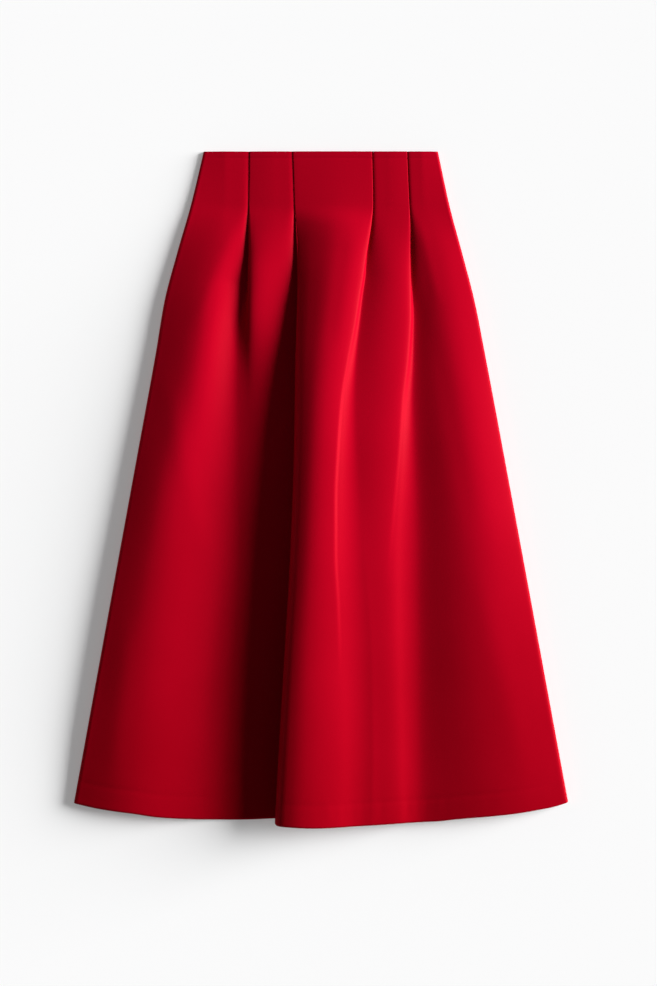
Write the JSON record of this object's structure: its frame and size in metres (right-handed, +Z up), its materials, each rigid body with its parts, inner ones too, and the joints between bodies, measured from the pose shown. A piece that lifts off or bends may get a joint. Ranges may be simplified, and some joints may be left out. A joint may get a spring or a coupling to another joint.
{
  "type": "pleated midi skirt",
  "caption": "Fitted-waist midi skirt in plain cloth, laid flat on its back, with stitched-down front pleats that open into soft waves to a curved hem.",
  "frame": {"origin": "middle of the skirt's outline, on the plane of the surface it lies on", "axes": "+X across the skirt, +Y along it from hem to waist, +Z up out of the surface, towards the front panel"},
  "size_m": [0.641, 0.8701, 0.0447],
  "materials": {
    "cloth_front": "smooth satin sheen",
    "cloth_back_left": "smooth satin sheen",
    "cloth_back_right": "smooth satin sheen",
    "tape_left": "matte woven",
    "tape_right": "matte woven",
    "slider_paint": "satin",
    "tab_paint": "satin"
  },
  "bodies": {
    "skirt": {"front_panel": "cloth_front", "back_panel_left": "cloth_back_left", "back_panel_right": "cloth_back_right", "zip_tape_left": "tape_left", "zip_tape_right": "tape_right", "zip_slider": "slider_paint"},
    "pull_tab": {"zip_pull_tab": "tab_paint"}
  },
  "joints": [
    {"name": "pull_tab_hinge", "type": "hinge", "parent": "skirt", "child": "pull_tab", "pos_m": [0, 0.4237, 0.00178], "axis": [1, 0, 0], "range_deg": [0, 170]}
  ]
}
